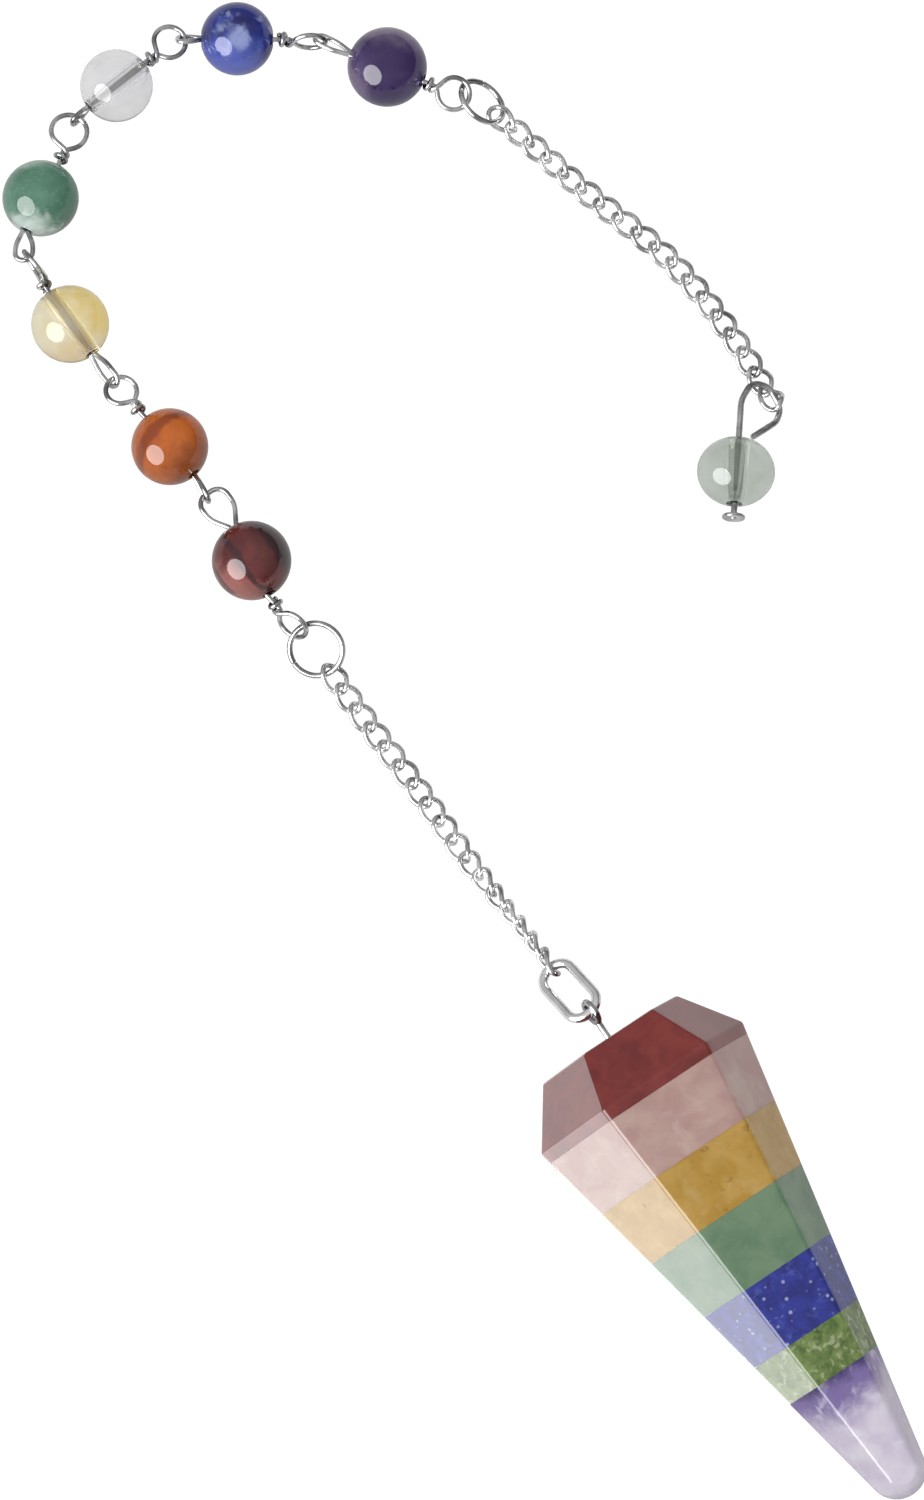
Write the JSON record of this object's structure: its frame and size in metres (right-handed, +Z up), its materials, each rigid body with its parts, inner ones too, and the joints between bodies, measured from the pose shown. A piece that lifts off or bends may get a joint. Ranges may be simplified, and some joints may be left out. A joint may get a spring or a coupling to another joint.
{
  "type": "pendulum pendant",
  "caption": "Dowsing pendulum: hexagonal point of glued gemstone layers on fine curb chains with wire-wrapped round gemstone beads and a clear end bead, laid out on a table.",
  "frame": {"origin": "centre of the bounding box, on the surface that the pendant lies on", "axes": "+Z up from the surface, +Y from the stone point towards the bead string, +X to the right as seen from above"},
  "size_m": [0.0706, 0.1194, 0.0157],
  "materials": {
    "red_jasper": "polished",
    "rose_quartz": "polished",
    "citrine": "polished",
    "green_aventurine": "polished",
    "lapis": "polished",
    "moss_agate": "polished",
    "amethyst": "polished",
    "silver_wire": "polished",
    "carnelian": "polished",
    "clear_quartz": "polished",
    "pale_quartz": "polished"
  },
  "bodies": {
    "root": {"stone_red_jasper": "red_jasper", "stone_rose_quartz": "rose_quartz", "stone_citrine": "citrine", "stone_green_aventurine": "green_aventurine", "stone_lapis": "lapis", "stone_moss_agate": "moss_agate", "stone_amethyst": "amethyst", "eye_pin": "silver_wire", "bail_ring": "silver_wire", "chain_lower": "silver_wire", "jump_ring_lower": "silver_wire", "jump_ring_upper": "silver_wire", "bead_red_jasper": "red_jasper", "wire_red_jasper": "silver_wire", "bead_carnelian": "carnelian", "wire_carnelian": "silver_wire", "bead_citrine": "citrine", "wire_citrine": "silver_wire", "bead_aventurine": "green_aventurine", "wire_aventurine": "silver_wire", "bead_clear_quartz": "clear_quartz", "wire_clear_quartz": "silver_wire", "bead_lapis": "lapis", "wire_lapis": "silver_wire", "bead_amethyst": "amethyst", "wire_amethyst": "silver_wire", "chain_upper": "silver_wire", "end_bead": "pale_quartz", "head_pin": "silver_wire"}
  },
  "joints": []
}
